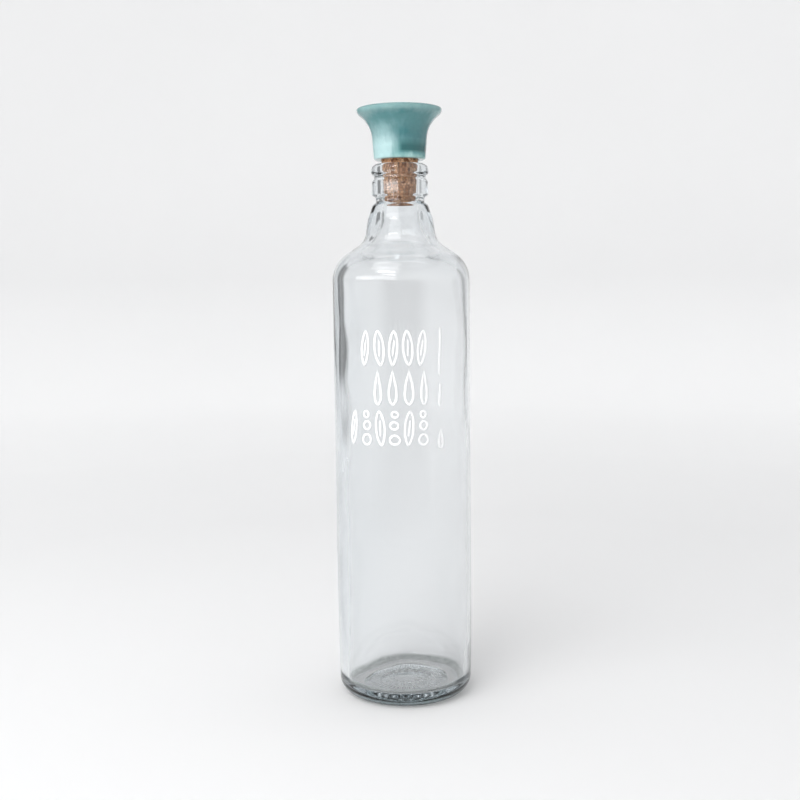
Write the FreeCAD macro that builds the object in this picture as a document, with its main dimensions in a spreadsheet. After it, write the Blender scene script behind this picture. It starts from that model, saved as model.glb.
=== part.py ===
"""Clear glass bottle with a cork-and-ceramic stopper, in millimetres.

The bottle is a thick-walled moulded glass shell that stands on a bearing ring at z = 0, with its axis
on +Z. Its stopper is a tapered cork glued into a glazed ceramic knob. Four patches of fired white
enamel decorate the front, which faces -Y. Each piece is its own sub-part.
"""
import FreeCAD, Part
import math
import os

import Sketcher

SHEET = "Sizes"

# An arc of an outline whose centre lies on the bottle's axis, so that it turns into a dome.
DOME = "dome"

# Every driving size, in millimetres, angles in degrees. Heights (..._z) are above the table.
SIZES = {
    # Bottle, outside
    "body_radius": 38.0,
    "punt_z": 3.2,
    "bearing_inner": 24.0,
    "bearing_outer": 28.2,
    "heel_radius": 9.0,
    "heel_side": 37.2,
    "heel_z": 9.0,
    "taper_arc": 276.0,
    "taper_z": 30.0,
    "shoulder_z": 232.4,
    "shoulder_arc": 18.0,
    "slope_low": 29.8,
    "slope_low_z": 247.5,
    "slope_high": 23.8,
    "slope_high_z": 251.4,
    "root_arc": 10.5,
    "neck_root": 19.1,
    "neck_root_z": 258.8,
    "neck_mid": 18.1,
    "neck_mid_z": 264.8,
    "neck_arc": 9.0,
    "neck_top": 16.3,
    "neck_top_z": 270.1,
    "groove_low": 15.3,
    "groove_low_z": 273.7,
    "groove_arc": 3.1,
    "groove_high": 15.0,
    "groove_high_z": 278.6,
    "ring_arc": 1.2,
    "ring_radius": 15.4,
    "ring_low_z": 279.6,
    "ring_high_z": 285.2,
    "ring_edge_arc": 3.6,
    "collar": 14.6,
    "collar_low_z": 287.7,
    "collar_arc": 2.2,
    "collar_high_z": 289.9,
    "bead_arc": 3.6,
    "bead_top": 14.9,
    "bead_top_z": 294.5,
    "lip_arc": 2.4,
    "lip_outer": 13.0,
    "lip_z": 296.0,
    "lip_inner_arc": 1.5,
    # Bottle, inside
    "wall": 4.8,
    "bore_radius": 9.9,
    "bore_end_z": 268.0,
    "throat": 14.35,
    "throat_z": 258.1,
    "throat_arc": 15.3,
    "vault_high": 21.2,
    "vault_high_z": 247.4,
    "vault_low": 27.2,
    "vault_low_z": 243.5,
    "floor_corner": 5.0,
    "floor_z": 7.5,
    "floor_crown_z": 9.0,
    # Stopper: cork
    "cork_bottom_z": 271.6,
    "cork_bottom": 8.1,
    "cork_edge": 0.8,
    "cork_mouth": 10.1,
    "cork_top_z": 306.3,
    "cork_top": 10.7,
    # Stopper: knob, its socket and the glue between them
    "glue": 0.35,
    "knob_bottom_z": 298.3,
    "knob_edge_arc": 1.0,
    "knob_bottom": 14.3,
    "waist": 15.1,
    "waist_z": 310.0,
    "flare_arc": 16.6,
    "flare": 21.2,
    "flare_z": 321.7,
    "rim_arc": 8.0,
    "rim_radius": 23.4,
    "rim_z": 325.0,
    "rim_edge_arc": 1.0,
    "knob_top_z": 326.0,
    "dish_radius": 20.0,
    "dish_edge_z": 325.4,
    "dish_z": 323.8,
    # Enamel decoration
    "enamel": 0.12,
    "stroke": 1.3,
    "art_depth": 20.0,
    "motif_height": 19.4,
    "upper_row_z": 197.2,
    "middle_row_z": 176.5,
    "lower_row_z": 154.7,
    "side_column_x": 20.2,
    "upper_dash_z": 195.1,
    "upper_dash_length": 26.0,
    "lower_dash_z": 172.0,
    "lower_dash_length": 12.8,
    "small_drop_z": 148.2,
    "small_drop_height": 11.0,
    "small_drop_radius": 2.8,
}


def value(formula):
    """The number that a formula of size names joined by + and - comes to."""
    total = 0.0
    sign = 1.0
    for word in formula.split():
        if word == "+":
            sign = 1.0
        elif word == "-":
            sign = -1.0
        else:
            total += sign * SIZES[word]
    return total


def bound(formula):
    """The same formula as an expression that reads the spreadsheet."""
    words = [word if word in "+-" else SHEET + "." + word for word in formula.split()]
    return " ".join(words)


def make_sheet(doc):
    """Fill the spreadsheet with one named row for each size."""
    sheet = doc.addObject("Spreadsheet::Sheet", SHEET)
    for row, (name, size) in enumerate(SIZES.items(), start=1):
        sheet.set("A%d" % row, name)
        sheet.set("B%d" % row, repr(size))
        sheet.setAlias("B%d" % row, name)
    return sheet


def dome_radius(start, end):
    """Radius of the arc through both ends of a run whose centre is on the axis."""
    rise = abs(end.y - start.y)
    reach = max(start.x, end.x)
    return (reach ** 2 + rise ** 2) / (2 * rise)


def arc_between(start, end, radius, turn):
    """Arc of the outline from start to end that turns left (turn = 1) or right (turn = -1)."""
    chord = end - start
    middle = (start + end) * 0.5
    offset = math.sqrt(radius ** 2 - chord.Length ** 2 / 4)
    left = FreeCAD.Vector(-chord.y, chord.x, 0) / chord.Length
    centre = middle + left * offset * turn
    first, last = (start, end) if turn == 1 else (end, start)
    angles = [math.atan2(point.y - centre.y, point.x - centre.x) for point in (first, last)]
    circle = Part.Circle(centre, FreeCAD.Vector(0, 0, 1), radius)
    return Part.ArcOfCircle(circle, angles[0], angles[1])


def pin_down(sketch, segment, end, radius, height):
    """Hold one end of a segment at a radius and a height that come from the spreadsheet."""
    for formula, kind, axis in ((radius, "DistanceX", -2), (height, "DistanceY", -1)):
        if formula == "":
            sketch.addConstraint(Sketcher.Constraint("PointOnObject", segment, end, axis))
        else:
            size = value(formula)
            held = sketch.addConstraint(Sketcher.Constraint(kind, -1, 1, segment, end, size))
            sketch.setExpression("Constraints[%d]" % held, bound(formula))


def draw_profile(sketch, corners):
    """Close an outline through corners of (radius, height, arc radius, turn).

    An empty radius or height is 0, on the axis or on the table. The arc and its turn describe the
    run from that corner to the next one: an empty arc means that the run is straight, and DOME that
    the arc's centre is on the axis, where it needs no radius of its own.
    """
    points = []
    for radius, height, _, _ in corners:
        points.append(FreeCAD.Vector(value(radius), value(height), 0))
    ends = []
    for index, (radius, height, arc, turn) in enumerate(corners):
        start = points[index]
        finish = points[(index + 1) % len(points)]
        ends.append((2, 1) if turn == -1 else (1, 2))
        if arc == "":
            segment = sketch.addGeometry(Part.LineSegment(start, finish), False)
        elif arc == DOME:
            run = arc_between(start, finish, dome_radius(start, finish), turn)
            segment = sketch.addGeometry(run, False)
            sketch.addConstraint(Sketcher.Constraint("PointOnObject", segment, 3, -2))
        else:
            run = arc_between(start, finish, value(arc), turn)
            segment = sketch.addGeometry(run, False)
            held = sketch.addConstraint(Sketcher.Constraint("Radius", segment, value(arc)))
            sketch.setExpression("Constraints[%d]" % held, bound(arc))
        pin_down(sketch, segment, ends[-1][0], radius, height)
    for index in range(len(corners)):
        following = (index + 1) % len(corners)
        joint = ("Coincident", index, ends[index][1], following, ends[following][0])
        sketch.addConstraint(Sketcher.Constraint(*joint))


def turned_body(doc, name, corners):
    """Body made by turning an outline about the Z axis."""
    body = doc.addObject("PartDesign::Body", name)
    body.Label = name
    sketch = body.newObject("Sketcher::SketchObject", name + "_outline")
    planes = [item for item in body.Origin.OriginFeatures if item.Role == "XZ_Plane"]
    sketch.AttachmentSupport = [(planes[0], "")]
    sketch.MapMode = "FlatFace"
    draw_profile(sketch, corners)
    turning = body.newObject("PartDesign::Revolution", name + "_turned")
    turning.Profile = sketch
    turning.ReferenceAxis = (sketch, ["V_Axis"])
    turning.Angle = 360.0
    sketch.Visibility = False
    return body


def make_bottle(doc):
    """Glass shell: pushed-up base, heel, straight side, round shoulder, neck and corked mouth."""
    outside = [
        ("", "punt_z", DOME, -1),
        ("bearing_inner", "", "", 0),
        ("bearing_outer", "", "heel_radius", 1),
        ("heel_side", "heel_z", "taper_arc", 1),
        ("body_radius", "taper_z", "", 0),
        ("body_radius", "shoulder_z", "shoulder_arc", 1),
        ("slope_low", "slope_low_z", "", 0),
        ("slope_high", "slope_high_z", "root_arc", -1),
        ("neck_root", "neck_root_z", "", 0),
        ("neck_mid", "neck_mid_z", "neck_arc", 1),
        ("neck_top", "neck_top_z", "", 0),
        ("groove_low", "groove_low_z", "groove_arc", -1),
        ("groove_high", "groove_high_z", "ring_arc", 1),
        ("ring_radius", "ring_low_z", "", 0),
        ("ring_radius", "ring_high_z", "ring_edge_arc", 1),
        ("collar", "collar_low_z", "collar_arc", -1),
        ("collar", "collar_high_z", "bead_arc", 1),
        ("bead_top", "bead_top_z", "lip_arc", 1),
        ("lip_outer", "lip_z", "", 0),
    ]
    inside = [
        ("bore_radius + lip_inner_arc", "lip_z", "lip_inner_arc", 1),
        ("bore_radius", "lip_z - lip_inner_arc", "", 0),
        ("bore_radius", "bore_end_z", "", 0),
        ("throat", "throat_z", "throat_arc", 1),
        ("vault_high", "vault_high_z", "", 0),
        ("vault_low", "vault_low_z", "shoulder_arc - wall", -1),
        ("body_radius - wall", "shoulder_z", "", 0),
        ("body_radius - wall", "floor_z + floor_corner", "floor_corner", -1),
        ("body_radius - wall - floor_corner", "floor_z", DOME, 1),
        ("", "floor_crown_z", "", 0),
    ]
    return turned_body(doc, "glass_bottle", outside + inside)


def make_cork(doc):
    """Tapered cork: its lower part plugs the bore and its top is glued into the knob."""
    return turned_body(doc, "cork_plug", [
        ("", "cork_bottom_z", "", 0),
        ("cork_bottom - cork_edge", "cork_bottom_z", "cork_edge", 1),
        ("cork_bottom", "cork_bottom_z + cork_edge", "", 0),
        ("cork_mouth", "knob_bottom_z", "", 0),
        ("cork_top", "cork_top_z", "", 0),
        ("", "cork_top_z", "", 0),
    ])


def make_knob(doc):
    """Ceramic knob: round foot, waist, trumpet flare, rolled rim, dished top and blind socket."""
    return turned_body(doc, "ceramic_knob", [
        ("", "cork_top_z + glue", "", 0),
        ("cork_top + glue", "cork_top_z + glue", "", 0),
        ("cork_mouth + glue", "knob_bottom_z", "", 0),
        ("knob_bottom - knob_edge_arc", "knob_bottom_z", "knob_edge_arc", 1),
        ("knob_bottom", "knob_bottom_z + knob_edge_arc", "", 0),
        ("waist", "waist_z", "flare_arc", -1),
        ("flare", "flare_z", "rim_arc", 1),
        ("rim_radius", "rim_z", "rim_edge_arc", 1),
        ("rim_radius - rim_edge_arc", "knob_top_z", "", 0),
        ("dish_radius", "dish_edge_z", DOME, -1),
        ("", "dish_z", "", 0),
    ])


def make_glue(doc):
    """Set glue that fills the gap between the cork and the socket."""
    return turned_body(doc, "glue_layer", [
        ("", "cork_top_z", "", 0),
        ("cork_top", "cork_top_z", "", 0),
        ("cork_mouth", "knob_bottom_z", "", 0),
        ("cork_mouth + glue", "knob_bottom_z", "", 0),
        ("cork_top + glue", "cork_top_z + glue", "", 0),
        ("", "cork_top_z + glue", "", 0),
    ])


def add_lens(sketch, centre, length, width, tilt):
    """Pointed oval of two arcs that leans by its tilt."""
    turn = math.radians(tilt)
    half_along = FreeCAD.Vector(math.sin(turn), math.cos(turn), 0) * (length / 2)
    half_across = FreeCAD.Vector(math.cos(turn), -math.sin(turn), 0) * (width / 2)
    for side in (1, -1):
        bulge = centre + half_across * side
        sketch.addGeometry(Part.Arc(centre + half_along, bulge, centre - half_along), False)


def add_leaf(sketch, x, z, length, width, tilt):
    """Leaf outline: one pointed oval inside another, a stroke apart at its sides."""
    centre = FreeCAD.Vector(x, z, 0)
    inner_width = width - 2 * SIZES["stroke"]
    add_lens(sketch, centre, length, width, tilt)
    add_lens(sketch, centre, length * inner_width / width, inner_width, tilt)


def add_bubble(sketch, x, z, radius):
    """Ring whose outer and inner circles are a stroke apart."""
    up = FreeCAD.Vector(0, 0, 1)
    centre = FreeCAD.Vector(x, z, 0)
    for size in (radius, radius - SIZES["stroke"]):
        sketch.addGeometry(Part.Circle(centre, up, size), False)


def add_drop(sketch, x, z, height, radius):
    """Drop outline centred on x and z: a round foot whose straight sides meet in a point."""
    inner = radius - SIZES["stroke"]
    rise = height - radius
    centre = FreeCAD.Vector(x, z - height / 2 + radius, 0)
    for size, peak in ((radius, rise), (inner, rise * inner / radius)):
        lean = math.asin(size / peak)
        tip = centre + FreeCAD.Vector(0, peak, 0)
        right = centre + FreeCAD.Vector(size * math.cos(lean), size * math.sin(lean), 0)
        left = centre + FreeCAD.Vector(-size * math.cos(lean), size * math.sin(lean), 0)
        foot = centre - FreeCAD.Vector(0, size, 0)
        sketch.addGeometry(Part.LineSegment(tip, right), False)
        sketch.addGeometry(Part.Arc(right, foot, left), False)
        sketch.addGeometry(Part.LineSegment(left, tip), False)


def make_skin(doc):
    """Thin sleeve on the bottle's side that every patch of enamel is cut from."""
    shells = []
    for name, radius in (("skin_outer", "body_radius + enamel"), ("skin_inner", "body_radius")):
        shell = doc.addObject("Part::Cylinder", name)
        shell.setExpression("Radius", bound(radius))
        shell.setExpression("Height", bound("shoulder_z"))
        shells.append(shell)
    skin = doc.addObject("Part::Cut", "skin")
    skin.Base, skin.Tool = shells
    return skin


def enamel_patch(doc, skin, name, draw):
    """Patch of enamel: the part of the sleeve that its artwork covers, seen from the front."""
    artwork = doc.addObject("Sketcher::SketchObject", name + "_artwork")
    artwork.Placement.Rotation = FreeCAD.Rotation(FreeCAD.Vector(1, 0, 0), 90)
    artwork.setExpression("Placement.Base.y", "-" + bound("art_depth"))
    draw(artwork)
    stencil = doc.addObject("Part::Extrusion", name + "_stencil")
    stencil.Base = artwork
    stencil.DirMode = "Custom"
    stencil.Dir = FreeCAD.Vector(0, -1, 0)
    stencil.setExpression("LengthFwd", bound("art_depth"))
    stencil.Solid = True
    stencil.FaceMakerClass = "Part::FaceMakerBullseye"
    patch = doc.addObject("Part::Common", name)
    patch.Base = skin
    patch.Tool = stencil
    patch.Label = name
    return patch


def draw_upper_row(sketch):
    """Upper row: tall leaves that lean a little each way."""
    leaves = ((-19.6, 5.4, 4), (-11.9, 6.6, -5), (-4.4, 5.8, 3), (3.1, 6.4, -3), (10.4, 5.6, 6))
    for x, width, tilt in leaves:
        add_leaf(sketch, x, SIZES["upper_row_z"], SIZES["motif_height"], width, tilt)


def draw_middle_row(sketch):
    """Middle row: tall drops of water."""
    for x, radius in ((-13.1, 3.2), (-5.1, 3.5), (3.5, 3.8), (11.4, 2.9)):
        add_drop(sketch, x, SIZES["middle_row_z"], SIZES["motif_height"], radius)


def draw_lower_row(sketch):
    """Lower row: leaves that take turns with stacks of three rising bubbles."""
    row = SIZES["lower_row_z"]
    for x, width, tilt in ((-26.2, 5.0, 6), (-12.0, 6.4, -4), (3.4, 6.0, 4)):
        add_leaf(sketch, x, row, SIZES["motif_height"], width, tilt)
    for x in (-19.2, -4.4, 10.8):
        for rise, radius in ((-6.2, 3.2), (1.3, 2.7), (7.4, 2.2)):
            add_bubble(sketch, x, row + rise, radius)


def draw_side_column(sketch):
    """Side column: two long dashes and a drop that falls from them."""
    column = SIZES["side_column_x"]
    for name in ("upper_dash", "lower_dash"):
        centre = FreeCAD.Vector(column, SIZES[name + "_z"], 0)
        add_lens(sketch, centre, SIZES[name + "_length"], SIZES["stroke"], 0)
    height, radius = SIZES["small_drop_height"], SIZES["small_drop_radius"]
    add_drop(sketch, column, SIZES["small_drop_z"], height, radius)


def main():
    """Build the document, check every object in it and write one STEP file for each sub-part."""
    doc = FreeCAD.newDocument("stoppered_bottle")
    make_sheet(doc)
    doc.recompute()
    parts = [make_bottle(doc), make_cork(doc), make_knob(doc), make_glue(doc)]
    skin = make_skin(doc)
    for name, draw in (
        ("enamel_upper_row", draw_upper_row),
        ("enamel_middle_row", draw_middle_row),
        ("enamel_lower_row", draw_lower_row),
        ("enamel_side_column", draw_side_column),
    ):
        parts.append(enamel_patch(doc, skin, name, draw))
    doc.recompute()
    for item in doc.Objects:
        if "Invalid" in item.State or "Error" in item.State:
            raise RuntimeError("%s failed: %s" % (item.Name, item.State))
    for part in parts:
        if part.Shape.isNull() or not part.Shape.isValid():
            raise RuntimeError("%s has no valid shape" % part.Label)
    os.makedirs("parts", exist_ok=True)
    for part in parts:
        part.Shape.exportStep("parts/%s.step" % part.Label)
        print("%s: %d solid(s), %.0f mm3" % (part.Label, len(part.Shape.Solids), part.Shape.Volume))


main()
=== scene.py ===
"""Looks of a clear glass bottle with a cork-and-ceramic stopper: meshes, materials, light and camera.

Outlines are in millimetres, as (radius, height) in the part's own frame, and are scaled to metres
when a mesh is made. Screens, lamps and the camera are in metres. The bottle's decorated front faces -Y.
"""
import math

import bmesh
import bpy
from mathutils import Matrix, Vector, noise


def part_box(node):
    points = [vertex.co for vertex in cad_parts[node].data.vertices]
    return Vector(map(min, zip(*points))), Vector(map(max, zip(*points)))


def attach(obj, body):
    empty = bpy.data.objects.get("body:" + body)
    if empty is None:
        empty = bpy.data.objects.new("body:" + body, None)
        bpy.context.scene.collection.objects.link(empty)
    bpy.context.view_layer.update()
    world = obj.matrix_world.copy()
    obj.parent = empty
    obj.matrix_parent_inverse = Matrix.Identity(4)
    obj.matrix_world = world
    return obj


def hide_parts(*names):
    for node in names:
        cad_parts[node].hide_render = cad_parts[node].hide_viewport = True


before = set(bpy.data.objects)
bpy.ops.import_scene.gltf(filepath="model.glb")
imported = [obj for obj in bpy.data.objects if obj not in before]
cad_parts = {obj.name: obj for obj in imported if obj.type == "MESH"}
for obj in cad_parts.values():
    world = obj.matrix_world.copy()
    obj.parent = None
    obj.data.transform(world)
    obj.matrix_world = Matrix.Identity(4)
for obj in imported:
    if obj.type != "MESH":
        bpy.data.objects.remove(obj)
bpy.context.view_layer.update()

MM = 0.001

# Sizes in millimetres that come from the frame.
BODY_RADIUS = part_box("glass_bottle")[1][0] / MM
LIP_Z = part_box("glass_bottle")[1][2] / MM
KNOB_BOTTOM_Z, KNOB_TOP_Z = [corner[2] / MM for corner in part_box("ceramic_knob")]
KNOB_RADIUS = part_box("ceramic_knob")[1][0] / MM
CORK_BOTTOM_Z, CORK_TOP_Z = [corner[2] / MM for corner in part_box("cork_plug")]
CORK_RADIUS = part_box("cork_plug")[1][0] / MM


# ---------------------------------------------------------------- outlines and meshes

def rounded_outline(corners, longest_step, arc_step=6.0):
    """Points along straight runs whose corners are rounded by arcs.

    Each corner is (radius, height, rounding). Long runs are cut into steps no longer than asked,
    and an arc turns by at most arc_step degrees at a time.
    """
    points = [Vector(corners[0][:2])]
    for index, (radius, height, rounding) in enumerate(corners[1:], start=1):
        corner = Vector((radius, height))
        arc = [corner]
        if rounding:
            before = (Vector(corners[index - 1][:2]) - corner).normalized()
            after = (Vector(corners[index + 1][:2]) - corner).normalized()
            half_angle = before.angle(after) / 2
            centre = corner + (before + after).normalized() * (rounding / math.sin(half_angle))
            start = corner + before * (rounding / math.tan(half_angle)) - centre
            finish = corner + after * (rounding / math.tan(half_angle)) - centre
            swing = -start.angle_signed(finish)
            steps = max(3, math.ceil(abs(swing) / math.radians(arc_step)))
            arc = []
            for step in range(steps + 1):
                turn = Matrix.Rotation(swing * step / steps, 2)
                arc.append(centre + turn @ start)
        for target in arc:
            origin = points[-1].copy()
            parts = math.ceil((target - origin).length / longest_step)
            for part in range(1, parts + 1):
                points.append(origin.lerp(target, part / parts))
    return points


def turned(radius, height, angle):
    """A point of a plain turned surface, in millimetres."""
    return radius * math.cos(angle), radius * math.sin(angle), height


def smooth_step(low, high, amount):
    """0 up to low, 1 from high on and a smooth change between them; low may be above high."""
    share = min(1.0, max(0.0, (amount - low) / (high - low)))
    return share * share * (3 - 2 * share)


def make_piece(name, vertices, faces, material, body):
    """Smooth mesh object, with vertices in millimetres, that rides on a body of the frame."""
    mesh = bpy.data.meshes.new(name)
    mesh.from_pydata([[value * MM for value in vertex] for vertex in vertices], [], faces)
    work = bmesh.new()
    work.from_mesh(mesh)
    bmesh.ops.recalc_face_normals(work, faces=work.faces)
    work.to_mesh(mesh)
    work.free()
    mesh.polygons.foreach_set("use_smooth", [True] * len(mesh.polygons))
    mesh.materials.append(material)
    piece = bpy.data.objects.new(name, mesh)
    bpy.context.scene.collection.objects.link(piece)
    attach(piece, body)
    return piece


def lathe(sections, segments):
    """Vertices and faces of a closed shape turned about the Z axis.

    A section is a run of outline points with the function that places them. The first section
    starts on the axis and the last one ends there.
    """
    rows = []
    for points, place in sections:
        for point in points if not rows else points[1:]:
            rows.append((point, place))
    vertices = []
    rings = []
    for point, place in rows:
        count = 1 if point.x < 1e-6 else segments
        ring = []
        for segment in range(count):
            ring.append(len(vertices))
            vertices.append(place(point.x, point.y, 2 * math.pi * segment / segments))
        rings.append(ring)
    faces = []
    for lower, upper in zip(rings, rings[1:]):
        for segment in range(segments):
            following = (segment + 1) % segments
            corners = [lower[segment % len(lower)], lower[following % len(lower)]]
            corners += [upper[following % len(upper)], upper[segment % len(upper)]]
            faces.append(tuple(dict.fromkeys(corners)))
    return vertices, faces


# ---------------------------------------------------------------- materials

def new_material(name):
    """Material with a Principled shader; returns it with its node tree and that shader."""
    material = bpy.data.materials.new(name)
    material.use_nodes = True
    tree = material.node_tree
    return material, tree, tree.nodes["Principled BSDF"]


def add_node(tree, kind, settings=None, inputs=None):
    """Node of a kind with its properties and the values of its input sockets set."""
    node = tree.nodes.new(kind)
    for name, setting in (settings or {}).items():
        setattr(node, name, setting)
    for name, amount in (inputs or {}).items():
        node.inputs[name].default_value = amount
    return node


def object_position(tree):
    """Socket with the point's place on the piece, in metres."""
    return add_node(tree, "ShaderNodeTexCoord").outputs["Object"]


def position_along(tree, axis):
    """Socket with the point's place along X, Y or Z, in metres."""
    split = add_node(tree, "ShaderNodeSeparateXYZ")
    tree.links.new(object_position(tree), split.inputs["Vector"])
    return split.outputs[axis]


def distance_from_axis(tree):
    """Socket with the point's distance from the Z axis, in metres."""
    flat = add_node(tree, "ShaderNodeVectorMath", {"operation": "MULTIPLY"})
    flat.inputs[1].default_value = (1.0, 1.0, 0.0)
    tree.links.new(object_position(tree), flat.inputs[0])
    reach = add_node(tree, "ShaderNodeVectorMath", {"operation": "LENGTH"})
    tree.links.new(flat.outputs["Vector"], reach.inputs[0])
    return reach.outputs["Value"]


def noise_value(tree, scale, detail=3.0, roughness=0.5, stretch=None):
    """Socket with a noise pattern of this scale per metre, stretched along the axes if asked."""
    texture = add_node(
        tree, "ShaderNodeTexNoise", None, {"Scale": scale, "Detail": detail, "Roughness": roughness}
    )
    place = object_position(tree)
    if stretch:
        mapping = add_node(tree, "ShaderNodeMapping", None, {"Scale": stretch})
        tree.links.new(place, mapping.inputs["Vector"])
        place = mapping.outputs["Vector"]
    tree.links.new(place, texture.inputs["Vector"])
    return texture.outputs["Fac"]


def ramp(tree, source, stops):
    """Socket with the colours of a ramp read at source; a stop is (position, (r, g, b))."""
    node = add_node(tree, "ShaderNodeValToRGB")
    elements = node.color_ramp.elements
    while len(elements) < len(stops):
        elements.new(0.5)
    for element, (position, colour) in zip(elements, stops):
        element.position = position
        element.color = (*colour, 1.0)
    tree.links.new(source, node.inputs["Fac"])
    return node.outputs["Color"]


def mapped(tree, source, source_range, target_range):
    """Socket with a value carried from one range to another."""
    node = add_node(tree, "ShaderNodeMapRange")
    limits = ("From Min", "From Max", "To Min", "To Max")
    for name, amount in zip(limits, (*source_range, *target_range)):
        node.inputs[name].default_value = amount
    tree.links.new(source, node.inputs["Value"])
    return node.outputs["Result"]


def combined(tree, operation, *values):
    """Socket with the values put through one operation of a Math node."""
    node = add_node(tree, "ShaderNodeMath", {"operation": operation})
    for index, value in enumerate(values):
        tree.links.new(value, node.inputs[index])
    return node.outputs["Value"]


def multiplied(tree, first, second):
    """Socket with the product of two values."""
    return combined(tree, "MULTIPLY", first, second)


def mixed(tree, factor, first, second, blend="MIX"):
    """Socket with two colours mixed; each may be a socket or a plain colour."""
    node = add_node(tree, "ShaderNodeMix", {"data_type": "RGBA", "blend_type": blend})
    for index, part in ((0, factor), (6, first), (7, second)):
        if isinstance(part, bpy.types.NodeSocket):
            tree.links.new(part, node.inputs[index])
        elif isinstance(part, tuple):
            node.inputs[index].default_value = (*part, 1.0)
        else:
            node.inputs[index].default_value = part
    return node.outputs[2]


def add_bump(tree, shader, height, depth, strength=1.0):
    """Bump of a depth in metres on the shader's normal."""
    bump = add_node(tree, "ShaderNodeBump", None, {"Strength": strength, "Distance": depth})
    tree.links.new(height, bump.inputs["Height"])
    tree.links.new(bump.outputs["Normal"], shader.inputs["Normal"])


WHITE = (1.0, 1.0, 1.0)
GLASS_IOR = 1.5
GLASS_DEPTH_COLOUR = (0.785, 0.83, 0.855)
GLASS_DENSITY = 55.0
# Painted shade on the outer heel, which darkens the glass colour there: heights and radii in metres at
# which it starts and is full, and its tones.
HEEL_PAINTED_SHADE_HEIGHTS = (0.0086, 0.0056)
HEEL_PAINTED_SHADE_RADII = (0.030, 0.032)
HEEL_PAINTED_SHADE_DARK = (0.17, 0.19, 0.18)
HEEL_PAINTED_SHADE_LIGHT = (0.44, 0.47, 0.45)


def glass_material():
    """Clear glass, slightly smudged: faintly tinted in its thickness, with painted shade that darkens its
    colour round the heel.
    """
    material, tree, shader = new_material("clear_glass")
    # Painted shade: the glass colour turns streaky grey low on the outer heel.
    low = mapped(tree, position_along(tree, "Z"), HEEL_PAINTED_SHADE_HEIGHTS, (0.0, 1.0))
    outer = mapped(tree, distance_from_axis(tree), HEEL_PAINTED_SHADE_RADII, (0.0, 1.0))
    cloudy = noise_value(tree, 260.0, 4.0, 0.6)
    painted_light_streaks = ramp(tree, cloudy, ((0.35, HEEL_PAINTED_SHADE_DARK), (0.68, HEEL_PAINTED_SHADE_LIGHT)))
    painted_heel_shade = mixed(tree, multiplied(tree, low, outer), WHITE, painted_light_streaks)
    tree.links.new(painted_heel_shade, shader.inputs["Base Color"])
    shader.inputs["Transmission Weight"].default_value = 1.0
    shader.inputs["IOR"].default_value = GLASS_IOR
    smudges = noise_value(tree, 55.0, 4.0, 0.55, (1.0, 1.0, 0.45))
    roughness = mapped(tree, smudges, (0.45, 0.75), (0.0, 0.03))
    tree.links.new(roughness, shader.inputs["Roughness"])
    ripples = noise_value(tree, 90.0, 1.0, 0.4, (1.0, 1.0, 0.4))
    add_bump(tree, shader, ripples, 0.00004)
    depth_tint = add_node(tree, "ShaderNodeVolumeAbsorption")
    depth_tint.inputs["Color"].default_value = (*GLASS_DEPTH_COLOUR, 1.0)
    depth_tint.inputs["Density"].default_value = GLASS_DENSITY
    tree.links.new(depth_tint.outputs["Volume"], tree.nodes["Material Output"].inputs["Volume"])
    return material


GRANULES_PER_METRE = 720.0
CORK_BROWNS = (
    (0.0, (0.16, 0.06, 0.03)),
    (0.14, (0.46, 0.20, 0.09)),
    (0.5, (0.70, 0.37, 0.19)),
    (1.0, (0.92, 0.60, 0.38)),
)
CORK_GRAIN = (
    (0.3, (0.62, 0.55, 0.5)),
    (0.7, (1.1, 1.08, 1.05)),
)
CORK_CRACK = (0.10, 0.04, 0.02)


def cork_material():
    """Pressed cork granules, each its own brown, with fine grain and dark cracks between them."""
    material, tree, shader = new_material("pressed_cork")
    granules = add_node(tree, "ShaderNodeTexVoronoi")
    edges = add_node(tree, "ShaderNodeTexVoronoi", {"feature": "DISTANCE_TO_EDGE"})
    place = object_position(tree)
    for texture in (granules, edges):
        texture.inputs["Scale"].default_value = GRANULES_PER_METRE
        tree.links.new(place, texture.inputs["Vector"])
    split = add_node(tree, "ShaderNodeSeparateColor")
    tree.links.new(granules.outputs["Color"], split.inputs["Color"])
    browns = ramp(tree, split.outputs["Red"], CORK_BROWNS)
    grain = ramp(tree, noise_value(tree, 2600.0, 4.0, 0.7), CORK_GRAIN)
    grained = mixed(tree, 1.0, browns, grain, "MULTIPLY")
    cracks = mapped(tree, edges.outputs["Distance"], (0.0, 0.12), (0.85, 0.0))
    tree.links.new(mixed(tree, cracks, grained, CORK_CRACK), shader.inputs["Base Color"])
    shader.inputs["Roughness"].default_value = 0.85
    add_bump(tree, shader, edges.outputs["Distance"], 0.0003, 0.7)
    return material


GLAZE_BODY = (
    (0.0, (0.40, 0.64, 0.61)),
    (0.09, (0.12, 0.31, 0.31)),
    (0.40, (0.06, 0.19, 0.205)),
    (0.80, (0.08, 0.24, 0.25)),
    (0.95, (0.23, 0.40, 0.40)),
)
# Lighter tone of the painted reflection stripes all round the knob.
GLAZE_PAINTED_STREAK = (0.16, 0.35, 0.37)
# Pale tone of the painted highlight low on the left of the knob.
GLAZE_PAINTED_HIGHLIGHT = (0.48, 0.68, 0.69)
# Near black tone of the painted shade low on the right of the knob.
GLAZE_PAINTED_SHADE = (0.012, 0.10, 0.105)
GLAZE_SPECK = (0.03, 0.10, 0.10)
GLAZE_MOTTLE = (
    (0.35, (0.93, 0.94, 0.94)),
    (0.7, (1.04, 1.03, 1.03)),
)


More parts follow.
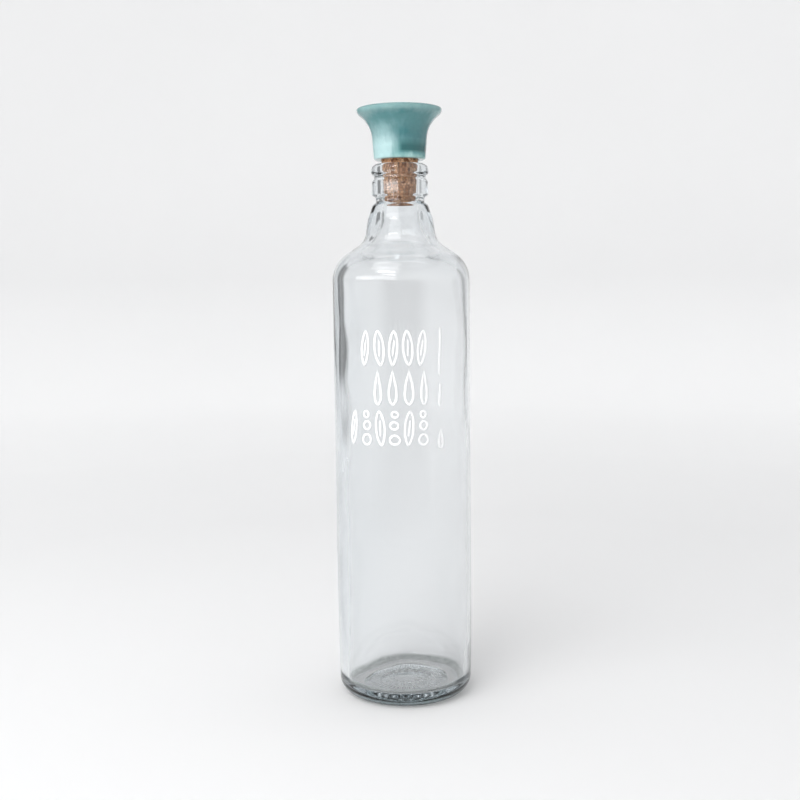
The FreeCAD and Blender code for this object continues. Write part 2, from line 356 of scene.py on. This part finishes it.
def glaze_colour(tree, clouds):
    """Socket with the glaze's tones, with upright stripes of painted reflection, a painted highlight on
    the left and painted shade on the right; heights on the knob run from 0 at its foot to 1 at its rim.
    """
    across = position_along(tree, "X")
    height = mapped(tree, position_along(tree, "Z"), (KNOB_BOTTOM_Z * MM, KNOB_TOP_Z * MM), (0.0, 1.0))
    drift = mapped(tree, clouds, (0.3, 0.7), (-0.07, 0.07))
    body = ramp(tree, combined(tree, "ADD", height, drift), GLAZE_BODY)

    # Painted reflection: upright lighter stripes all round the knob, from a noise stretched upwards; the
    # same noise breaks up the edge of the painted highlight.
    runs = noise_value(tree, 150.0, 3.0, 0.55, (1.0, 1.0, 0.16))
    painted_light_streaks = mapped(tree, runs, (0.5, 0.7), (0.0, 0.35))
    painted_streak_mixed = mixed(tree, painted_light_streaks, body, GLAZE_PAINTED_STREAK)

    # Painted highlight: the glaze turns pale on the left side near the foot, with a ragged edge.
    left = mapped(tree, across, (0.5 * MM, -5.0 * MM), (0.0, 1.0))
    foot = mapped(tree, height, (0.75, 0.25), (0.0, 1.0))
    ragged_highlight_edge = mapped(tree, runs, (0.32, 0.52), (0.25, 1.0))
    # Mask of the painted highlight.
    thin = multiplied(tree, multiplied(tree, left, foot), ragged_highlight_edge)
    highlight_painted = mixed(tree, mapped(tree, thin, (0.0, 1.0), (0.0, 0.85)), painted_streak_mixed, GLAZE_PAINTED_HIGHLIGHT)

    # Painted shade: the glaze turns near black in a band low on the right side.
    right = mapped(tree, across, (-1.0 * MM, 1.5 * MM), (0.0, 1.0))
    above = mapped(tree, height, (0.09, 0.15), (0.0, 1.0))
    below = mapped(tree, height, (0.36, 0.22), (0.0, 1.0))
    painted_shade_patch = multiplied(tree, right, multiplied(tree, above, below))
    return mixed(tree, mapped(tree, painted_shade_patch, (0.0, 1.0), (0.0, 0.9)), highlight_painted, GLAZE_PAINTED_SHADE)


def glaze_material():
    """Turquoise glaze: pale foot and rim, lighter upright stripes of painted reflection all round, a
    painted highlight low on the left and painted shade low on the right.
    """
    material, tree, shader = new_material("turquoise_glaze")
    clouds = noise_value(tree, 95.0, 4.0, 0.6, (1.0, 1.0, 0.55))
    mottle = ramp(tree, noise_value(tree, 420.0, 3.0, 0.6), GLAZE_MOTTLE)
    coloured = mixed(tree, 1.0, glaze_colour(tree, clouds), mottle, "MULTIPLY")
    specks = add_node(tree, "ShaderNodeTexVoronoi", None, {"Scale": 420.0})
    tree.links.new(object_position(tree), specks.inputs["Vector"])
    dots = mapped(tree, specks.outputs["Distance"], (0.03, 0.1), (0.35, 0.0))
    tree.links.new(mixed(tree, dots, coloured, GLAZE_SPECK), shader.inputs["Base Color"])
    roughness = mapped(tree, clouds, (0.3, 0.7), (0.07, 0.14))
    tree.links.new(roughness, shader.inputs["Roughness"])
    shader.inputs["Coat Weight"].default_value = 0.15
    shader.inputs["Coat Roughness"].default_value = 0.03
    add_bump(tree, shader, noise_value(tree, 160.0, 2.0, 0.5), 0.00025, 0.5)
    return material


def enamel_material():
    """Fired white enamel, satin, a little thinner in places."""
    material, tree, shader = new_material("white_enamel")
    layer = noise_value(tree, 900.0, 4.0, 0.6)
    whites = ramp(tree, layer, ((0.3, (0.88, 0.89, 0.90)), (0.6, (0.97, 0.975, 0.98))))
    tree.links.new(whites, shader.inputs["Base Color"])
    roughness = mapped(tree, noise_value(tree, 500.0), (0.3, 0.7), (0.35, 0.55))
    tree.links.new(roughness, shader.inputs["Roughness"])
    add_bump(tree, shader, noise_value(tree, 2400.0, 3.0, 0.6), 0.00005)
    return material


def glue_material():
    """Set glue, dull amber and slightly uneven."""
    material, tree, shader = new_material("set_glue")
    cloudy = noise_value(tree, 800.0, 3.0)
    tone = ramp(tree, cloudy, ((0.3, (0.20, 0.13, 0.06)), (0.7, (0.34, 0.24, 0.12))))
    tree.links.new(tone, shader.inputs["Base Color"])
    shader.inputs["Roughness"].default_value = 0.5
    add_bump(tree, shader, noise_value(tree, 1500.0, 2.0), 0.0001)
    return material


PALE_PAPER = (0.86, 0.86, 0.86)
PAPER_GLOW = 0.146
# The paper's tone near and far out on the floor, with their distances, and high up the wall.
NEAR_SHARE, FAR_SHARE, FLOOR_REACH = 0.91, 1.11, (0.5, 1.5)
HIGH_SHARE, WALL_START = 0.86, (0.0, 0.25)
PAPER_GRAIN = (
    (0.3, (0.985, 0.985, 0.985)),
    (0.7, WHITE),
)


def paper_material():
    """Matt studio paper that glows a little, toned so that it looks even under the lamps."""
    material, tree, shader = new_material("backdrop_paper")
    outward = mapped(tree, distance_from_axis(tree), FLOOR_REACH, (NEAR_SHARE, FAR_SHARE))
    upward = mapped(tree, position_along(tree, "Z"), WALL_START, (1.0, HIGH_SHARE))
    share = multiplied(tree, outward, upward)
    grain = ramp(tree, noise_value(tree, 2.5, 2.0), PAPER_GRAIN)
    tone = mixed(tree, 1.0, grain, PALE_PAPER, "MULTIPLY")
    tree.links.new(mixed(tree, 1.0, tone, share, "MULTIPLY"), shader.inputs["Base Color"])
    glow = mapped(tree, share, (0.0, 1.0), (0.0, PAPER_GLOW))
    tree.links.new(glow, shader.inputs["Emission Strength"])
    shader.inputs["Emission Color"].default_value = (*WHITE, 1.0)
    shader.inputs["Roughness"].default_value = 0.9
    shader.inputs["Specular IOR Level"].default_value = 0.1
    return material


def felt_material(name, grey, foot_fade, head_fade, side_fade=None):
    """Grey felt of a screen that turns to pale paper at its foot and its head.

    The felt starts between the two heights of the foot fade and ends between those of the head
    fade, in metres. A side fade is a pair of distances from the plane X = 0 between which it ends.
    """
    material, tree, shader = new_material(name + "_felt")
    height = position_along(tree, "Z")
    low = mapped(tree, height, foot_fade, (0.0, 1.0))
    high = mapped(tree, height, head_fade, (1.0, 0.0))
    middle = multiplied(tree, low, high)
    if side_fade:
        aside = combined(tree, "ABSOLUTE", position_along(tree, "X"))
        middle = multiplied(tree, middle, mapped(tree, aside, side_fade, (1.0, 0.0)))
    felt = ramp(tree, noise_value(tree, 300.0), ((0.3, (grey * 0.9,) * 3), (0.7, (grey,) * 3)))
    tree.links.new(mixed(tree, middle, PALE_PAPER, felt), shader.inputs["Base Color"])
    glow = mapped(tree, middle, (0.0, 1.0), (PAPER_GLOW, 0.0))
    tree.links.new(glow, shader.inputs["Emission Strength"])
    shader.inputs["Emission Color"].default_value = (*WHITE, 1.0)
    shader.inputs["Roughness"].default_value = 1.0
    shader.inputs["Specular IOR Level"].default_value = 0.0
    return material


def show_in_reflections_only(material):
    """Let rays that no surface has reflected pass straight through a screen's felt."""
    tree = material.node_tree
    surface = tree.nodes["Material Output"].inputs["Surface"]
    felt = surface.links[0].from_socket
    path = add_node(tree, "ShaderNodeLightPath")
    reflected = mapped(tree, path.outputs["Glossy Depth"], (0.0, 1.0), (0.0, 1.0))
    clear = add_node(tree, "ShaderNodeBsdfTransparent")
    choice = add_node(tree, "ShaderNodeMixShader")
    tree.links.new(reflected, choice.inputs[0])
    tree.links.new(clear.outputs["BSDF"], choice.inputs[1])
    tree.links.new(felt, choice.inputs[2])
    tree.links.new(choice.outputs["Shader"], surface)


# ---------------------------------------------------------------- the glass bottle

# How far the lip and the knob's top stay inside the frame's sizes.
INSET = 0.03
GLASS_SEGMENTS = 264
# The punt is the pushed-up underside of the base; the floor above it rises to a low crown.
PUNT_RADIUS = 24.0
PUNT_HEIGHT = 3.2
PUNT_STEPS = 60
FLOOR_Z = 7.6
FLOOR_CROWN = 1.2
# Raised marks under the base: ribs between two radii, and rings of dots as (radius, count). A dot is
# flat out to one radius and has faded at the other.
MARK_HEIGHT = 0.6
RIB_COUNT = 44
RIB_START, RIB_END, RIB_FADE = 14.5, 20.4, 0.8
DOT_RINGS = ((11.6, 20), (7.8, 12))
DOT_TOP, DOT_FOOT = 0.55, 1.05
# The blown inside: its shift to one side, the depths of its slow and quick waves, the heights between
# which they grow below the neck, and the heights between which they weaken towards the floor.
WALL_SHIFT = 1.5
SLOW_WAVE = 0.42
QUICK_WAVE = 0.2
NECK_CALM = (252.0, 205.0)
FLOOR_CALM = (7.0, 32.0)
# The moulded outside: the depth of its faint waves, and the heights between which they start.
MOULD_WAVE = 0.03
HEEL_CALM = (10.0, 40.0)
GLASS_SIDE = BODY_RADIUS - 0.05
BORE_RADIUS = 9.95
GLASS_OUTSIDE = (
    (PUNT_RADIUS, 0.0, 0),
    (37.2, 0.0, 9.0),
    (37.75, 26.0, 150.0),
    (GLASS_SIDE, 60.0, 600.0),
    (GLASS_SIDE, 242.2, 18.0),
    (19.9, 253.9, 10.0),
    (18.0, 265.7, 9.0),
    (15.4, 273.6, 3.0),
    (13.3, 275.4, 0.9),
    (13.5, 277.9, 0.9),
    (15.4, 279.2, 1.0),
    (15.4, 286.6, 2.0),
    (14.1, 288.2, 0.9),
    (14.1, 289.7, 0.9),
    (15.9, 290.9, 1.6),
    (15.2, LIP_Z - INSET, 3.0),
    (BORE_RADIUS, LIP_Z - INSET, 1.8),
    (BORE_RADIUS, 280.0, 0),
)
GLASS_INSIDE = (
    (BORE_RADIUS, 280.0, 0),
    (BORE_RADIUS, 267.0, 14.0),
    (16.0, 251.0, 13.0),
    (33.1, 238.5, 13.0),
    (33.1, FLOOR_Z, 4.2),
    (0.0, FLOOR_Z + FLOOR_CROWN, 0),
)


def base_marks(radius, angle):
    """Share from 0 to 1 of the raised marks under the base: a ring of ribs and two rings of dots."""
    ribs = smooth_step(0.1, 0.7, math.cos(RIB_COUNT * angle))
    ribs *= smooth_step(RIB_START, RIB_START + RIB_FADE, radius)
    ribs *= smooth_step(RIB_END, RIB_END - RIB_FADE, radius)
    dots = 0.0
    for ring_radius, count in DOT_RINGS:
        pitch = 2 * math.pi / count
        across = (angle % pitch - pitch / 2) * ring_radius
        dots += smooth_step(DOT_FOOT, DOT_TOP, math.hypot(across, radius - ring_radius))
    return ribs + dots


def punt_glass(radius, height, angle):
    """Underside of the base: a shallow dome with raised marks."""
    height = max(height - MARK_HEIGHT * base_marks(radius, angle), 0.0)
    return turned(radius, height, angle)


def outer_glass(radius, height, angle):
    """Outer surface: nearly true, with the faint waves that a mould leaves."""
    around = Vector((math.cos(angle), math.sin(angle), height / 60))
    radius += MOULD_WAVE * noise.noise(around * 1.3) * smooth_step(*HEEL_CALM, height)
    return turned(radius, height, angle)


def inner_glass(radius, height, angle):
    """Inner surface: blown, so below the neck it is wavy and a little off centre."""
    below_neck = smooth_step(*NECK_CALM, height) * (0.3 + 0.7 * smooth_step(*FLOOR_CALM, height))
    around = Vector((math.cos(angle), math.sin(angle), 0))
    slow = noise.noise(around * 1.4 + Vector((3.1, 0.4, height / 48)))
    quick = noise.noise(around * 3.4 + Vector((9.2, 5.1, height / 21)))
    radius += (SLOW_WAVE * slow + QUICK_WAVE * quick) * below_neck * smooth_step(0, 20, radius)
    x, y, z = turned(radius, height, angle)
    return x + WALL_SHIFT * below_neck, y, z


def make_bottle(material):
    """One closed shell of glass: base, side, shoulder, neck, lip, bore and inside."""
    punt = []
    for step in range(PUNT_STEPS + 1):
        radius = PUNT_RADIUS * step / PUNT_STEPS
        punt.append(Vector((radius, PUNT_HEIGHT * (1 - (radius / PUNT_RADIUS) ** 2))))
    sections = (
        (punt, punt_glass),
        (rounded_outline(GLASS_OUTSIDE, 3.0), outer_glass),
        (rounded_outline(GLASS_INSIDE, 3.0), inner_glass),
    )
    vertices, faces = lathe(sections, GLASS_SEGMENTS)
    piece = make_piece("bottle_glass", vertices, faces, material, "bottle")
    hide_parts("glass_bottle")


# ---------------------------------------------------------------- the stopper

GLUE_THICKNESS = 0.35
CORK_SEGMENTS = 180
KNOB_SEGMENTS = 192
CRACK_DEPTH = 0.16
PIT_DEPTH = 0.22
KNOB_UNEVENNESS = 0.09
CORK_OUTLINE = (
    (0.0, CORK_BOTTOM_Z, 0),
    (8.1, CORK_BOTTOM_Z, 0.8),
    (10.05, KNOB_BOTTOM_Z, 60.0),
    (CORK_RADIUS, CORK_TOP_Z, 0.5),
    (0.0, CORK_TOP_Z, 0),
)
KNOB_OUTLINE = (
    (0.0, CORK_TOP_Z + GLUE_THICKNESS, 0),
    (11.05, CORK_TOP_Z + GLUE_THICKNESS, 0.3),
    (10.45, KNOB_BOTTOM_Z, 0.4),
    (14.25, KNOB_BOTTOM_Z, 1.1),
    (15.64, 317.2, 16.6),
    (KNOB_RADIUS - 0.02, 323.5, 3.6),
    (KNOB_RADIUS - 0.02, KNOB_TOP_Z - INSET, 0.8),
    (20.4, 325.5, 2.0),
    (12.0, 324.1, 30.0),
    (0.0, 323.8, 0),
)


def cork_surface(radius, height, angle):
    """Surface of the cork, let in by the cracks and pits between its granules."""
    x, y, z = turned(radius, height, angle)
    near, second = noise.voronoi(Vector((x, y, z)) * GRANULES_PER_METRE * MM)[0][:2]
    crack = smooth_step(0.16, 0.0, second - near)
    pit = smooth_step(0.15, 0.55, noise.noise(Vector((x, y, z)) * 0.9))
    inset = CRACK_DEPTH * crack + PIT_DEPTH * pit
    share = 1 - inset / max(radius, 1.0)
    return x * share, y * share, z


def knob_surface(radius, height, angle):
    """Surface of the knob, turned and glazed by hand, so it is very slightly out of round."""
    uneven = noise.noise(Vector((math.cos(angle), math.sin(angle), height / 14)) * 1.2)
    radius -= KNOB_UNEVENNESS * (0.5 + uneven) * smooth_step(10.6, 13.5, radius)
    return turned(radius, height, angle)


def make_stopper(cork, glaze, glue):
    """Cork with its granules in the mesh, the knob that it is glued into, and the glue between."""
    outline = rounded_outline(CORK_OUTLINE, 0.45, 12.0)
    vertices, faces = lathe([(outline, cork_surface)], CORK_SEGMENTS)
    piece = make_piece("stopper_cork", vertices, faces, cork, "stopper")
    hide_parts("cork_plug")
    outline = rounded_outline(KNOB_OUTLINE, 1.0, 4.0)
    vertices, faces = lathe([(outline, knob_surface)], KNOB_SEGMENTS)
    piece = make_piece("stopper_knob", vertices, faces, glaze, "stopper")
    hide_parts("ceramic_knob")
    give_material("glue_layer", glue)


def give_material(node, material):
    """Put a better material on a node of the frame that keeps its shape."""
    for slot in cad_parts[node].material_slots:
        slot.material = material


# ---------------------------------------------------------------- enamel on the front

ENAMEL_LOW = BODY_RADIUS - 0.1
ENAMEL_HIGH = BODY_RADIUS + 0.1
# Section of a stroke: share of the way across it, and the radius there.
STROKE_SECTION = (
    (0.0, ENAMEL_LOW),
    (0.12, ENAMEL_HIGH),
    (0.88, ENAMEL_HIGH),
    (1.0, ENAMEL_LOW),
)
LEAF_STROKE = 1.5
RIB_STROKE = 1.25
BUBBLE_STROKE = 1.45
DROP_STROKE = 1.6
SMALL_DROP_STROKE = 2.7
DASH_STROKE = 1.9
OUTLINE_STEPS = 72
BUBBLE_STEPS = 48
RIB_STEPS = 16
DASH_STEPS = 24

MOTIF_HEIGHT = 19.4
UPPER_Z = 197.2
MIDDLE_Z = 176.5
LOWER_Z = 154.7
# Leaves are (across, width, tilt in degrees) and drops are (across, radius).
UPPER_LEAVES = (
    (-20.6, 5.4, 4),
    (-12.3, 6.6, -5),
    (-4.6, 5.8, 3),
    (3.1, 6.4, -3),
    (10.6, 5.6, 6),
)
MIDDLE_DROPS = (
    (-13.4, 3.4),
    (-5.2, 3.8),
    (3.5, 4.1),
    (11.6, 3.1),
)
LOWER_LEAVES = (
    (-28.8, 5.0, 6),
    (-12.2, 6.4, -4),
    (3.4, 6.0, 4),
)
# A column of bubbles, from the bottom: (height from the row's middle, radius), and where each is across.
BUBBLE_SIZES = (
    (-6.2, 3.3),
    (1.4, 2.8),
    (7.3, 2.3),
)
BUBBLE_COLUMNS = (
    (-20.2, -20.0, -20.4),
    (-4.4, -4.6, -4.2),
    (11.1, 11.3, 11.0),
)
# Beside the rows: dashes as (across, height, length), and a drop as (across, height, length, radius).
SIDE_DASHES = (
    (21.0, 195.1, 26.0),
    (20.9, 172.0, 12.8),
)
SIDE_DROP = (21.4, 148.2, 11.0, 3.1)


def on_front(across, height, radius):
    """Point of the side, a distance across from the front's middle line, at a radius."""
    angle = across / BODY_RADIUS
    return radius * math.sin(angle), -radius * math.cos(angle), height


def band(left, right, closed):
    """Raised band of enamel between two edges; each edge is a list of (across, height)."""
    vertices = []
    for first, second in zip(left, right):
        for share, radius in STROKE_SECTION:
            across, height = Vector(first).lerp(Vector(second), share)
            vertices.append(on_front(across, height, radius))
    count = len(left)
    sides = len(STROKE_SECTION)
    faces = []
    for row in range(count if closed else count - 1):
        here = sides * row
        there = sides * ((row + 1) % count)
        for side in range(sides):
            other = (side + 1) % sides
            faces.append((here + side, here + other, there + other, there + side))
    if not closed:
        faces.append(tuple(range(sides)))
        faces.append(tuple(range(sides * (count - 1), sides * count)))
    return vertices, faces


def loop_band(outline, stroke, pen, mitred=False):
    """Closed band inside an outline given as (across, height), drawn by hand.

    A mitred band stops at the outline's upright middle line, which keeps a narrow tip pointed.
    """
    middle = sum((Vector(point) for point in outline), Vector((0, 0))) / len(outline)
    left = []
    right = []
    for index, point in enumerate(outline):
        point = Vector(point)
        before = Vector(outline[index - 1])
        after = Vector(outline[(index + 1) % len(outline)])
        along = (after - before).normalized()
        inward = Vector((-along.y, along.x))
        if inward.dot(middle - point) < 0:
            inward.negate()
        width = stroke * (1 + 0.16 * noise.noise(Vector((*point, pen)) * 0.35))
        if mitred:
            to_middle = abs(middle.x - point.x) / max(abs(inward.x), 0.15)
            width = min(width, max(0.97 * to_middle, 0.05))
        left.append(point)
        right.append(point + inward * width)
    return band(left, right, True)


def line_band(path, stroke, pen):
    """Band along an open path with rounded ends, drawn by hand."""
    left = []
    right = []
    last = len(path) - 1
    for index, point in enumerate(path):
        point = Vector(point)
        along = (Vector(path[min(index + 1, last)]) - Vector(path[max(index - 1, 0)])).normalized()
        side = Vector((-along.y, along.x))
        share = 2 * index / last - 1
        end = math.sqrt(max(0.05, 1 - abs(share) ** 8))
        width = stroke / 2 * end * (1 + 0.15 * noise.noise(Vector((*point, pen)) * 0.4))
        left.append(point + side * width)
        right.append(point - side * width)
    return band(left, right, False)


def leaf(x, z, height, width, tilt):
    """Strokes of a tall leaf: its outline and its midrib, leaning by a tilt in degrees.

    Each stroke of a motif is (kind, points, width).
    """
    lean = Matrix.Rotation(math.radians(-tilt), 2)
    outline = []
    for step in range(OUTLINE_STEPS):
        turn = 2 * math.pi * step / OUTLINE_STEPS
        side = width / 2 * math.sin(turn) * (0.82 + 0.18 * abs(math.sin(turn)))
        outline.append(Vector((x, z)) + lean @ Vector((side, height / 2 * math.cos(turn))))
    rib = []
    for step in range(RIB_STEPS + 1):
        share = step / RIB_STEPS - 0.5
        bend = 0.25 * math.sin(3.1 * share)
        rib.append(Vector((x, z)) + lean @ Vector((bend, height * 0.46 * share)))
    return (("loop", outline, LEAF_STROKE), ("line", rib, RIB_STROKE))


def bubble(x, z, radius):
    """Stroke of a round bubble, a little uneven."""
    outline = []
    for step in range(BUBBLE_STEPS):
        turn = 2 * math.pi * step / BUBBLE_STEPS
        reach = radius * (1 + 0.05 * math.sin(2 * turn + x))
        outline.append(Vector((x + reach * math.cos(turn), z + reach * math.sin(turn))))
    return (("loop", outline, BUBBLE_STROKE),)


def drop(x, z, height, radius, stroke=DROP_STROKE):
    """Stroke of a falling drop: a round foot and a tall, narrowing top."""
    outline = []
    for step in range(OUTLINE_STEPS):
        turn = 2 * math.pi * step / OUTLINE_STEPS
        side = radius * math.sin(turn) * math.sin(turn / 2) ** 1.1
        outline.append(Vector((x + side, z + height / 2 * math.cos(turn))))
    return (("drop", outline, stroke),)


def dash(x, z, length):
    """Stroke of a long, thin dash."""
    path = []
    for step in range(DASH_STEPS + 1):
        share = step / DASH_STEPS - 0.5
        path.append(Vector((x + 0.35 * math.sin(5 * share), z + length * share)))
    return (("line", path, DASH_STROKE),)


def front_motifs():
    """Motifs of each patch of decoration, by the patch's name."""
    upper = [leaf(x, UPPER_Z, MOTIF_HEIGHT, width, tilt) for x, width, tilt in UPPER_LEAVES]
    middle = [drop(x, MIDDLE_Z, MOTIF_HEIGHT, radius) for x, radius in MIDDLE_DROPS]
    lower = [leaf(x, LOWER_Z, MOTIF_HEIGHT, width, tilt) for x, width, tilt in LOWER_LEAVES]
    for column in BUBBLE_COLUMNS:
        for x, (rise, radius) in zip(column, BUBBLE_SIZES):
            lower.append(bubble(x, LOWER_Z + rise, radius))
    side = [dash(*place) for place in SIDE_DASHES]
    side.append(drop(*SIDE_DROP, SMALL_DROP_STROKE))
    return {"upper_row": upper, "middle_row": middle, "lower_row": lower, "side_column": side}


def make_enamel(material):
    """The four patches of decoration, each one piece, in place of the frame's plain ones."""
    for name, motifs in front_motifs().items():
        vertices = []
        faces = []
        for number, motif in enumerate(motifs):
            for kind, points, stroke in motif:
                if kind == "line":
                    new_vertices, new_faces = line_band(points, stroke, number)
                else:
                    new_vertices, new_faces = loop_band(points, stroke, number, kind == "drop")
                offset = len(vertices)
                vertices += new_vertices
                faces += [tuple(offset + corner for corner in face) for face in new_faces]
        piece = make_piece("print_" + name, vertices, faces, material, "bottle")
        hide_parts("enamel_" + name)


# ---------------------------------------------------------------- studio and camera

# The backdrop, in millimetres.
WALL_RADIUS = 2000.0
WALL_HEIGHT = 2600.0
WALL_FOOT_ROUNDING = 500.0
BACKDROP_SEGMENTS = 96
SCREEN_STEPS = 24
# Name, place, target and size in metres, and watts.
LAMPS = (
    ("overhead", (0.0, 0.2, 2.3), (0.0, 0.2, 0.0), (2.4, 2.4), 6.4),
    ("wall_wash", (0.0, 0.2, 2.0), (0.0, 2.0, 0.8), (1.6, 0.6), 3.5),
    ("front_fill", (-0.6, -0.9, 1.5), (0.0, 0.0, 0.2), (1.2, 0.8), 8.3),
    ("left_panel", (-0.645, -0.67, 0.415), (0.0, 0.0, 0.31), (1.35, 0.15), 2.8),
    ("key", (-0.43, -0.87, 0.79), (0.0, 0.0, 0.27), (0.56, 0.11), 2.4),
)
AIR_COLOUR = (0.93, 0.95, 1.0)
AIR_STRENGTH = 0.254
# The camera's place in metres, and its pitch downwards and its roll in degrees.
CAMERA_PLACE = (-0.0014, -0.620, 0.2295)
CAMERA_PITCH = 5.85
CAMERA_ROLL = -0.69


def make_backdrop():
    """Round pale backdrop: a floor that bends up into a wall."""
    corners = ((0.0, 0.0, 0), (WALL_RADIUS, 0.0, WALL_FOOT_ROUNDING), (WALL_RADIUS, WALL_HEIGHT, 0))
    outline = rounded_outline(corners, 100.0, 5.0)
    vertices = []
    faces = []
    for point in outline:
        for segment in range(BACKDROP_SEGMENTS):
            vertices.append(turned(point.x, point.y, 2 * math.pi * segment / BACKDROP_SEGMENTS))
    for row in range(len(outline) - 1):
        here = row * BACKDROP_SEGMENTS
        there = here + BACKDROP_SEGMENTS
        for segment in range(BACKDROP_SEGMENTS):
            following = (segment + 1) % BACKDROP_SEGMENTS
            faces.append((here + segment, here + following, there + following, there + segment))
    mesh = bpy.data.meshes.new("backdrop")
    mesh.from_pydata([[value * MM for value in vertex] for vertex in vertices], [], faces)
    mesh.polygons.foreach_set("use_smooth", [True] * len(mesh.polygons))
    mesh.materials.append(paper_material())
    backdrop = bpy.data.objects.new("backdrop", mesh)
    bpy.context.scene.collection.objects.link(backdrop)


def make_screen(name, distance, bearings, top, material):
    """Curved screen on the floor round the bottle, which only the glass and the glaze show.

    Bearings are in degrees from straight behind the bottle, clockwise from above.
    """
    vertices = []
    faces = []
    for step in range(SCREEN_STEPS + 1):
        bearing = math.radians(bearings[0] + (bearings[1] - bearings[0]) * step / SCREEN_STEPS)
        for height in (0.0, top):
            vertices.append((distance * math.sin(bearing), distance * math.cos(bearing), height))
    for step in range(SCREEN_STEPS):
        faces.append((2 * step, 2 * step + 2, 2 * step + 3, 2 * step + 1))
    mesh = bpy.data.meshes.new(name)
    mesh.from_pydata(vertices, [], faces)
    mesh.materials.append(material)
    screen = bpy.data.objects.new(name, mesh)
    screen.visible_camera = False
    screen.visible_diffuse = False
    screen.visible_shadow = False
    bpy.context.scene.collection.objects.link(screen)


def make_screens():
    """A dark screen in front, mostly below the camera, and two greyer ones to the sides behind."""
    front = felt_material(
        "front_screen", grey=0.05, foot_fade=(0.02, 0.20), head_fade=(0.24, 0.30), side_fade=(0.20, 0.35)
    )
    show_in_reflections_only(front)
    make_screen("front_screen", distance=0.45, bearings=(128.0, 232.0), top=0.30, material=front)
    left = felt_material("left_screen", grey=0.27, foot_fade=(0.0, 0.12), head_fade=(0.65, 0.75))
    make_screen("left_screen", distance=0.95, bearings=(-58.0, -30.0), top=0.75, material=left)
    right = felt_material("right_screen", grey=0.52, foot_fade=(0.0, 0.12), head_fade=(0.65, 0.75))
    make_screen("right_screen", distance=0.95, bearings=(38.0, 58.0), top=0.75, material=right)


def add_lamp(name, place, target, size, watts):
    """Rectangular soft lamp at a place, aimed at a target; the camera doesn't see it."""
    light = bpy.data.lights.new(name, "AREA")
    light.shape = "RECTANGLE"
    light.size, light.size_y = size
    light.energy = watts
    lamp = bpy.data.objects.new(name, light)
    lamp.location = place
    lamp.visible_camera = False
    lamp.rotation_euler = (Vector(target) - Vector(place)).to_track_quat("-Z", "Y").to_euler()
    bpy.context.scene.collection.objects.link(lamp)


def make_lights():
    """Dim surroundings, a lamp overhead, one for the wall, a fill, a panel and a narrow key lamp."""
    world = bpy.data.worlds.new("studio_air")
    world.use_nodes = True
    background = world.node_tree.nodes["Background"]
    background.inputs["Color"].default_value = (*AIR_COLOUR, 1.0)
    background.inputs["Strength"].default_value = AIR_STRENGTH
    bpy.context.scene.world = world
    for name, place, target, size, watts in LAMPS:
        add_lamp(name, place, target, size, watts)


def make_camera():
    """Camera in front of the decorated side, a little above the middle and pitched down."""
    camera = bpy.data.cameras.new("camera")
    camera.lens = 50.0
    camera.sensor_width = 36.0
    camera.clip_start = 0.01
    holder = bpy.data.objects.new("camera", camera)
    pitch = Matrix.Rotation(math.radians(90.0 - CAMERA_PITCH), 4, "X")
    roll = Matrix.Rotation(math.radians(CAMERA_ROLL), 4, "Z")
    holder.matrix_world = Matrix.Translation(CAMERA_PLACE) @ pitch @ roll
    bpy.context.scene.collection.objects.link(holder)
    bpy.context.scene.camera = holder


def set_rendering():
    """Plain colours, and enough light paths for clear glass."""
    scene = bpy.context.scene
    scene.view_settings.view_transform = "Standard"
    scene.cycles.use_denoising = True
    scene.cycles.max_bounces = 24
    scene.cycles.transmission_bounces = 20
    scene.cycles.transparent_max_bounces = 12


make_bottle(glass_material())
make_stopper(cork_material(), glaze_material(), glue_material())
make_enamel(enamel_material())
make_backdrop()
make_screens()
make_lights()
make_camera()
set_rendering()
